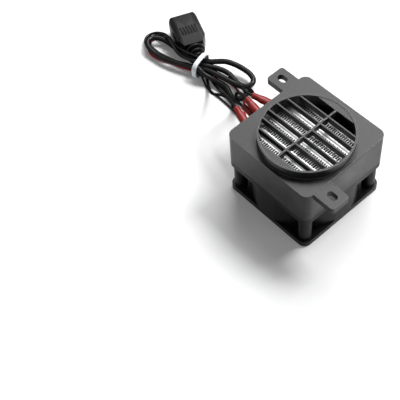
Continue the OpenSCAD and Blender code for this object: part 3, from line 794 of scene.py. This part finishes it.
@dataclass(frozen=True)
class Tie:
    """The white band round the hank's waist; lengths are in millimetres.

    Attributes:
        centre: Its middle.
        turn: How far the hank is turned there, in degrees.
        half: Half its width and half its height.
        square: Power that makes its oval squarer.
        band: Its width along the hank and its thickness.
        rim: Rounding of its rims.
        steps: Number of points round it.
    """

    centre: Point = (-106.0, 16.5, 6.2)
    turn: float = 16.0
    half: tuple[float, float] = (7.1, 5.1)
    square: float = 0.62
    band: tuple[float, float] = (3.0, 1.0)
    rim: float = 0.35
    steps: int = 64

    def _squared(self, reach: float, half: float) -> float:
        """Return a coordinate of the oval, pulled out towards a square."""
        return math.copysign(abs(reach) ** self.square, reach) * half

    def build(self) -> bpy.types.Object:
        """Build the band, put it in place of the CAD tie and dress it.

        Returns:
            The band's object.
        """
        width, thick = self.band
        mesh = bpy.data.meshes.new("lead_tie_band")
        shape = bmesh.new()
        ring = bmesh.ops.create_circle(shape, cap_ends=False, radius=1.0, segments=self.steps)["verts"]
        for vert in ring:
            turn = math.atan2(vert.co.y, vert.co.x)
            side, rise = self._squared(math.cos(turn), self.half[0]), self._squared(math.sin(turn), self.half[1])
            vert.co = metres((-width / 2, side, rise))
        grown = bmesh.ops.extrude_edge_only(shape, edges=shape.edges[:])["geom"]
        out = [v for v in grown if isinstance(v, bmesh.types.BMVert)]
        bmesh.ops.translate(shape, verts=out, vec=metres((width, 0, 0)))
        bmesh.ops.recalc_face_normals(shape, faces=shape.faces)
        bmesh.ops.solidify(shape, geom=shape.faces[:], thickness=-thick * MM)
        bmesh.ops.recalc_face_normals(shape, faces=shape.faces)
        rims = [e for e in shape.edges if e.calc_face_angle(0.0) > math.radians(50)]
        bmesh.ops.bevel(
            shape, geom=rims, offset=self.rim * MM, segments=3, profile=0.5, affect="EDGES", material=-1
        )
        turned = Matrix.Rotation(math.radians(self.turn), 3, "Z")
        bmesh.ops.rotate(shape, verts=shape.verts, cent=(0, 0, 0), matrix=turned)
        bmesh.ops.translate(shape, verts=shape.verts, vec=metres(self.centre))
        shape.to_mesh(mesh)
        shape.free()
        smooth_by_angle(mesh, 40.0)
        band = bpy.data.objects.new("lead_tie_band", mesh)
        bpy.context.scene.collection.objects.link(band)
        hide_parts("lead_tie")
        return dress(band, TIE, HEATER)


@dataclass
class Lead:
    """The heater's lead: four supply wires, two fan wires, the cable, the tie and the connector.

    Attributes:
        wire_size: Diameter of a supply wire, in millimetres.
        fan_wire_size: Diameter of a fan wire, in millimetres.
        cable_size: Diameter of the cable, in millimetres.
        connector_edge: Rounding of the connector's edges, in metres.
        wire_a: Points along supply wire a, in millimetres, as in each route below.
        wire_b: Points along supply wire b.
        wire_c: Points along supply wire c.
        wire_d: Points along supply wire d.
        fan_black: Points along the fan's black wire.
        fan_red: Points along the fan's red wire.
        cable: Points along the cable, from the connector's neck.
    """

    wire_size: float = 1.8
    fan_wire_size: float = 1.3
    cable_size: float = 3.4
    connector_edge: float = 0.00028

    wire_a: tuple[Point, ...] = (
        (-41, -10.2, 38), (-47, -8.3, 38), (-52, -6.9, 37), (-58, -5, 33.5), (-64, -2.8, 28), (-71, 0, 20.5),
        (-78, 3, 13), (-84, 5.8, 7), (-90, 9.2, 3), (-95, 12.4, 1.6), (-99.6, 15, 2.6), (-103.4, 16.3, 2.8),
        (-108, 15.4, 2.7), (-113.3, 12.4, 2.6), (-121.2, 9.9, 2), (-131.2, 7.4, 1.7), (-139.5, 5.7, 2.1),
        (-146.7, 6.1, 2.7), (-151.4, 10.2, 2.6), (-151, 15.5, 2.8), (-146.8, 18.9, 3.5), (-139.4, 19.1, 5.1),
        (-130.8, 16.6, 7), (-121.6, 15.5, 8.8), (-113.9, 16.6, 9.8), (-110.2, 17.7, 10), (-107.4, 18.9, 9.9),
    )
    wire_b: tuple[Point, ...] = (
        (-41, -1.2, 38), (-47.5, -0.1, 38), (-52, 0.7, 36.4), (-57, 2.6, 31), (-61, 5.6, 23.5), (-64, 8.8, 15),
        (-67, 12, 7), (-70.5, 14.2, 2), (-76, 15.4, 0.9), (-84, 15.9, 1.4), (-92, 16.9, 1.4),
        (-96.9, 18.3, 2.2), (-104.9, 20, 2.2), (-109.3, 18.3, 2), (-114, 14.2, 1.8), (-122, 11.4, 1),
        (-131, 9.1, 1), (-138.6, 7.7, 1.5), (-144.9, 8.1, 2.4), (-148.9, 11.5, 2.6), (-148.3, 15.4, 2.8),
        (-143.9, 17.8, 4.6), (-138.4, 17.1, 6.9), (-131, 14.9, 7.5), (-122.5, 12.5, 8), (-115, 12.3, 9.2),
        (-109.9, 13.8, 9.9), (-106.4, 15.4, 9.9),
    )
    wire_c: tuple[Point, ...] = (
        (-41, -3, 33.5), (-47.5, -3, 33.5), (-52, -2.4, 31.6), (-57, -0.6, 26), (-61, 2.2, 18.5),
        (-64, 5.2, 10.8), (-67.5, 8.8, 4.5), (-71.5, 11.6, 1.3), (-78, 13.3, 0.9), (-87, 14.1, 1.2),
        (-93.5, 15.3, 1.6), (-98.5, 16.9, 2.7), (-104.2, 18.5, 3),
    )
    wire_d: tuple[Point, ...] = (
        (-41, 4.7, 38), (-47, 3.2, 38), (-51.5, 3.4, 37.2), (-56.5, 7, 33.4), (-60, 12, 26.5),
        (-62.8, 17.5, 18), (-65.6, 22.4, 9.5), (-69.4, 25.6, 3), (-74.5, 26.4, 0.9), (-82, 24.8, 1.9),
        (-90, 23.4, 1.7), (-98.1, 22, 2.1), (-105.7, 21.8, 2.5),
    )
    fan_black: tuple[Point, ...] = (
        (-14, -0.8, 23.2), (-16, -0.8, 24.3), (-31.5, -0.8, 24.3), (-35, -0.9, 22.5), (-38.5, -0.9, 17),
        (-42, -0.6, 9.5), (-46.5, 0.4, 3), (-53, 3, 0.9), (-60, 7.2, 0.7), (-70, 9.2, 0.7), (-80, 10, 0.7),
        (-88, 9.9, 0.7), (-92, 10, 0.7), (-95, 10.7, 0.7), (-98.5, 12.1, 1.3), (-103, 13.6, 2.2),
        (-107, 12.5, 2.2),
    )
    fan_red: tuple[Point, ...] = (
        (-14, 0.8, 23.2), (-16, 0.8, 24.3), (-31.5, 0.8, 24.3), (-35, 0.9, 22.5), (-38.5, 1, 17),
        (-42, 1.2, 9.5), (-46.5, 2.2, 3), (-53, 5.2, 0.9), (-60, 11, 0.7), (-64.5, 15, 0.7), (-70, 19, 0.7),
        (-76, 21.4, 0.7), (-83, 22.5, 0.7), (-90, 22.1, 0.7), (-94.8, 20.7, 0.7), (-98.4, 18.5, 0.7),
        (-101, 16.4, 0.8), (-103.7, 15, 1.8), (-107.7, 13.8, 1.9), (-111.5, 12, 1.5), (-116, 10.3, 1.1),
        (-120.4, 9.1, 0.7), (-124.9, 7.8, 0.7), (-130.4, 5.4, 0.7), (-136, 3.8, 0.7), (-141.5, 4.3, 0.7),
        (-145.8, 7.3, 0.7), (-148.1, 11.4, 0.7), (-147.1, 15.4, 0.7), (-142.7, 17.7, 0.7), (-136.5, 18, 0.7),
        (-130.4, 17.1, 0.7),
    )
    cable: tuple[Point, ...] = (
        (-110.8, 19.7, 6.5), (-107.8, 20.2, 6.4), (-104.2, 22.1, 6.6), (-100.4, 25.5, 7), (-96.5, 28.9, 7.3),
        (-91.5, 31.2, 7.1), (-85, 33.1, 6.2), (-78.6, 33.4, 5.4), (-75, 32, 4.9), (-73.4, 28.7, 4.5),
        (-75, 25.3, 4.3), (-78.6, 23.9, 4.4), (-84.6, 24.3, 4.5), (-90.4, 25, 4.8), (-96.4, 22.7, 5.9),
        (-101.3, 19.6, 6.4), (-105.8, 17.3, 6.4), (-110.2, 16, 6.4), (-115.2, 15.8, 6), (-121, 16.2, 5.2),
        (-127, 16.7, 4.4), (-133, 16.8, 3.8), (-139, 16.3, 4), (-144, 14.1, 4.7), (-146.6, 10.4, 5.1),
        (-145.2, 6.5, 5.2), (-141, 4.5, 4.8), (-135.5, 4.4, 4.2), (-129.5, 5, 4.2), (-123.5, 6.6, 4.6),
        (-117.8, 8.6, 5.1), (-112.5, 10.9, 5.6), (-108.6, 12.6, 5.9), (-104.9, 14, 6.1), (-100.9, 15.6, 6.8),
        (-95.9, 17.2, 7.1), (-90, 18.7, 7), (-84, 19.9, 6.9), (-78.8, 21.2, 6.7), (-73.6, 22.4, 6.8),
        (-70, 21.5, 6.4), (-68.4, 18.3, 5.7), (-70.1, 15.1, 5.1), (-73.6, 13.8, 4.4), (-78.5, 15.3, 4),
        (-83.1, 16.9, 3.9), (-89, 16.4, 4.1), (-94.5, 14.6, 5.1), (-98.9, 12.7, 7.2), (-101.7, 12.3, 8.7),
        (-103.8, 12.6, 9.1),
    )

    def build(self) -> None:
        """Build the cords, the tie and the connector."""
        tie = Tie().build()
        connector = rounded_node("inlet_connector", CONNECTOR, HEATER, self.connector_edge, 2, flatten=False)
        paint_node("inlet_pins", NICKEL)
        for letter, points in zip("abcd", (self.wire_a, self.wire_b, self.wire_c, self.wire_d)):
            Cord(f"supply_wire_{letter}_cord", points, self.wire_size, WIRE_BLACK, (f"supply_wire_{letter}",)).build()
        for colour, points, finish in (("black", self.fan_black, WIRE_BLACK), ("red", self.fan_red, WIRE_RED)):
            Cord(f"fan_wire_{colour}_cord", points, self.fan_wire_size, finish, (f"fan_wire_{colour}",)).build()
        Cord(
            "lead_cable_cord", self.cable, self.cable_size, CABLE, ("lead_hank",),
            lay="coiled", with_pieces=(connector.name, "inlet_pins", tie.name),
        ).build()


# The heater


@dataclass
class Housing:
    """The moulded housing with its collar, grille and ears.

    Attributes:
        edge: Rounding of its edges, in metres.
    """

    edge: float = 0.00035

    def build(self) -> None:
        """Build the housing with its rounded edges."""
        rounded_node("heater_housing", HOUSING, HEATER, self.edge, 3, HOUSING_EDGE_HIGHLIGHT)


@dataclass
class Fan:
    """The axial fan under the housing.

    Attributes:
        edge: Rounding of the frame's edges, in metres.
        impeller_edge: Rounding of the impeller's edges.
        screw_edge: Rounding of the screws' edges.
        inner: Finishes of the parts inside.
    """

    edge: float = 0.0003
    impeller_edge: float = 0.00012
    screw_edge: float = 0.0001
    inner: dict[str, Finish] = field(default_factory=lambda: {
        "rotor_yoke": STEEL, "rotor_magnet": FERRITE, "fan_shaft": STEEL, "shaft_clip": STEEL,
        "fan_bearing": BRONZE, "stator_core": IRON, "stator_insulator": IVORY, "stator_coils": COPPER,
        "fan_circuit_board": BOARD,
    })

    def build(self) -> None:
        """Build the frame, the impeller and the motor's parts."""
        rounded_node("fan_frame", FAN_BLACK, HEATER, self.edge, 2, FAN_EDGE_HIGHLIGHT)
        rounded_node("fan_impeller", IMPELLER, ROTOR, self.impeller_edge, 1)
        rounded_node("corner_screws", STEEL, HEATER, self.screw_edge, 1)
        for node, finish in self.inner.items():
            paint_node(node, finish)


@dataclass
class HeatingElement:
    """The tubes, fins, electrodes and end holders.

    Attributes:
        places: The tubes' names, from the front one to the rear one.
        crown: Height of a tube's rounded top, in metres.
        crown_cuts: Where the crown is cut for its curve, as shares of its height.
        crown_flat: Share of the tube's width that stays at the very top.
        fin_rows: Number of fin rows.
    """

    places: tuple[str, ...] = ("front", "middle", "rear")
    crown: float = 0.0014
    crown_cuts: tuple[float, ...] = (0.0, 0.3, 0.5, 0.68, 0.82, 0.93)
    crown_flat: float = 0.28
    fin_rows: int = 6

    def _tube(self, place: str) -> None:
        """Round the top of one tube and dress it.

        Args:
            place: The tube's name, as in its node's name.
        """
        node = f"heating_tube_{place}"
        low, high = (Vector(corner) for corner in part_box(node))
        middle, half = (low.y + high.y) / 2, (high.y - low.y) / 2
        tube = copy_of(node, f"{node}_drawn")
        shape = bmesh.new()
        shape.from_mesh(tube.data)
        bmesh.ops.dissolve_limit(shape, angle_limit=0.01, verts=shape.verts, edges=shape.edges)
        start = high.z - self.crown
        for share in self.crown_cuts:
            bmesh.ops.bisect_plane(
                shape, geom=shape.verts[:] + shape.edges[:] + shape.faces[:],
                plane_co=(0, 0, start + share * self.crown), plane_no=(0, 0, 1),
            )
        for vert in shape.verts:
            rise = (vert.co.z - start) / self.crown
            if rise > 0:
                arch = math.sqrt(max(0.0, 1.0 - min(rise, 1.0) ** 2))
                reach = half * (self.crown_flat + (1.0 - self.crown_flat) * arch)
                vert.co.y = middle + max(-reach, min(reach, vert.co.y - middle))
        bmesh.ops.remove_doubles(shape, verts=shape.verts, dist=0.00001)
        bmesh.ops.recalc_face_normals(shape, faces=shape.faces)
        shape.to_mesh(tube.data)
        shape.free()
        smooth_by_angle(tube.data, 40.0)
        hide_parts(node)
        dress(tube, ALUMINIUM, HEATER)

    def build(self) -> None:
        """Dress the element's nodes."""
        for place in self.places:
            self._tube(place)
            paint_node(f"insulating_film_{place}", FILM)
            paint_node(f"ptc_stones_{place}", STONE)
            paint_node(f"live_electrode_{place}", TINNED)
            paint_node(f"neutral_electrode_{place}", TINNED)
        for row in range(1, self.fin_rows + 1):
            paint_node(f"fin_row_{row}", FIN_ALUMINIUM)
        for side in ("left", "right"):
            paint_node(f"element_holder_{side}", HOLDER)


@dataclass
class Terminals:
    """The buses' tabs with their crimps and red sleeves.

    Attributes:
        letters: The terminals' letters.
        bus_edge: Rounding of the buses' edges, in metres.
        sleeve_edge: Rounding of the sleeves' edges.
    """

    letters: str = "abcd"
    bus_edge: float = 0.00008
    sleeve_edge: float = 0.0001

    def build(self) -> None:
        """Dress the buses, crimps and sleeves."""
        for bus in ("live_bus", "neutral_bus"):
            rounded_node(bus, TINNED, HEATER, self.bus_edge, 1)
        for letter in self.letters:
            paint_node(f"crimp_contact_{letter}", TINNED_BRASS)
            rounded_node(f"crimp_sleeve_{letter}", SLEEVE, HEATER, self.sleeve_edge, 2)


def main() -> None:
    """Build the scene: camera and lead first, then the heater and the studio."""
    logging.basicConfig(level=logging.INFO, format="%(message)s")
    StudioCamera().build()
    Lead().build()
    Housing().build()
    Fan().build()
    HeatingElement().build()
    Terminals().build()
    Studio().build()


if __name__ == "__main__":
    main()
